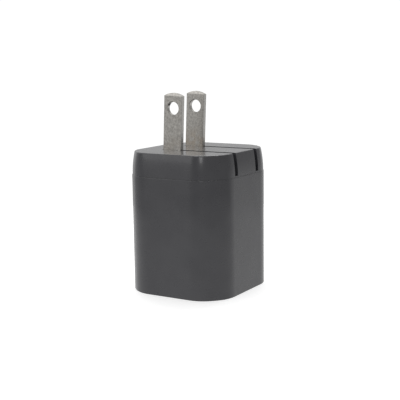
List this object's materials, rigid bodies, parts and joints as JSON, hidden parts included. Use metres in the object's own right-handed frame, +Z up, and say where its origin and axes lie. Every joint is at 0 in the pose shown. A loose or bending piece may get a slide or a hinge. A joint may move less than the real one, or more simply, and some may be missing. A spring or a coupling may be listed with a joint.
{
  "type": "usb wall charger",
  "caption": "Compact wall charger with a USB socket: dark box with chamfered corners and a bowed cap, whose flat plug blades fold down into slots.",
  "frame": {"origin": "centre of the socket face, the end that the charger stands on", "axes": "+Z up through the unfolded blades, +X towards the side that the blades fold to, -Y towards the front face"},
  "size_m": [0.0342, 0.0364, 0.0599],
  "materials": {
    "housing_plastic": "dark grey moulded polycarbonate, fine satin texture",
    "inner_plastic": "black glass-filled moulding",
    "nickel_plate": "nickel-plated brass, dull, with fine scratches",
    "steel": "plated steel",
    "spring_steel": "plain spring steel",
    "bronze": "phosphor bronze strip",
    "gold_contact": "gold flash on copper alloy",
    "tinned_metal": "tinned copper",
    "black_insulation": "soft PVC insulation",
    "white_insulation": "soft PVC insulation",
    "circuit_board": "green solder mask on glass laminate",
    "resistor_coat": "lacquered ceramic",
    "choke_sleeve": "shrink sleeve",
    "chip_package": "moulded package",
    "chip_ceramic": "sintered ceramic",
    "ferrite": "sintered ferrite",
    "winding_tape": "polyester tape over enamelled wire",
    "blue_coat": "dipped epoxy coat",
    "can_sleeve": "printed sleeve left blank",
    "can_aluminium": "bare aluminium can",
    "socket_plastic": "white moulded insulator",
    "film": "thin polyester film"
  },
  "bodies": {
    "charger_body": {"main_housing": "housing_plastic", "blade_cap": "housing_plastic", "rotor_cradle": "inner_plastic", "cradle_screws": "steel", "detent_spring": "spring_steel", "contact_spring_front": "bronze", "contact_spring_rear": "bronze", "lead_wire_front": "black_insulation", "lead_wire_rear": "white_insulation", "main_board": "circuit_board", "output_board": "circuit_board", "board_link_pins": "tinned_metal", "fusible_resistor": "resistor_coat", "input_inductor": "choke_sleeve", "bridge_rectifier": "chip_package", "switcher_ic": "chip_package", "chip_components": "chip_ceramic", "transformer_core_upper": "ferrite", "transformer_core_lower": "ferrite", "transformer_bobbin": "inner_plastic", "transformer_winding": "winding_tape", "transformer_pins": "tinned_metal", "y_capacitor": "blue_coat", "output_rectifier": "chip_package", "port_controller_ic": "chip_package", "usb_shell": "steel", "usb_tongue": "socket_plastic", "usb_contacts": "gold_contact", "insulation_sheet": "film", "input_capacitor_lower": "can_sleeve", "input_capacitor_upper": "can_sleeve", "output_capacitor_main": "can_aluminium", "output_capacitor_filter": "can_aluminium"},
    "folding_blades": {"blade_front": "nickel_plate", "blade_rear": "nickel_plate", "blade_rotor": "inner_plastic"}
  },
  "joints": [
    {"name": "blade_fold", "type": "hinge", "parent": "charger_body", "child": "folding_blades", "pos_m": [-0.00515, 0, 0.0394], "axis": [0, 1, 0], "range_deg": [-2.6, 87.4], "deforming": ["detent_spring"]}
  ]
}
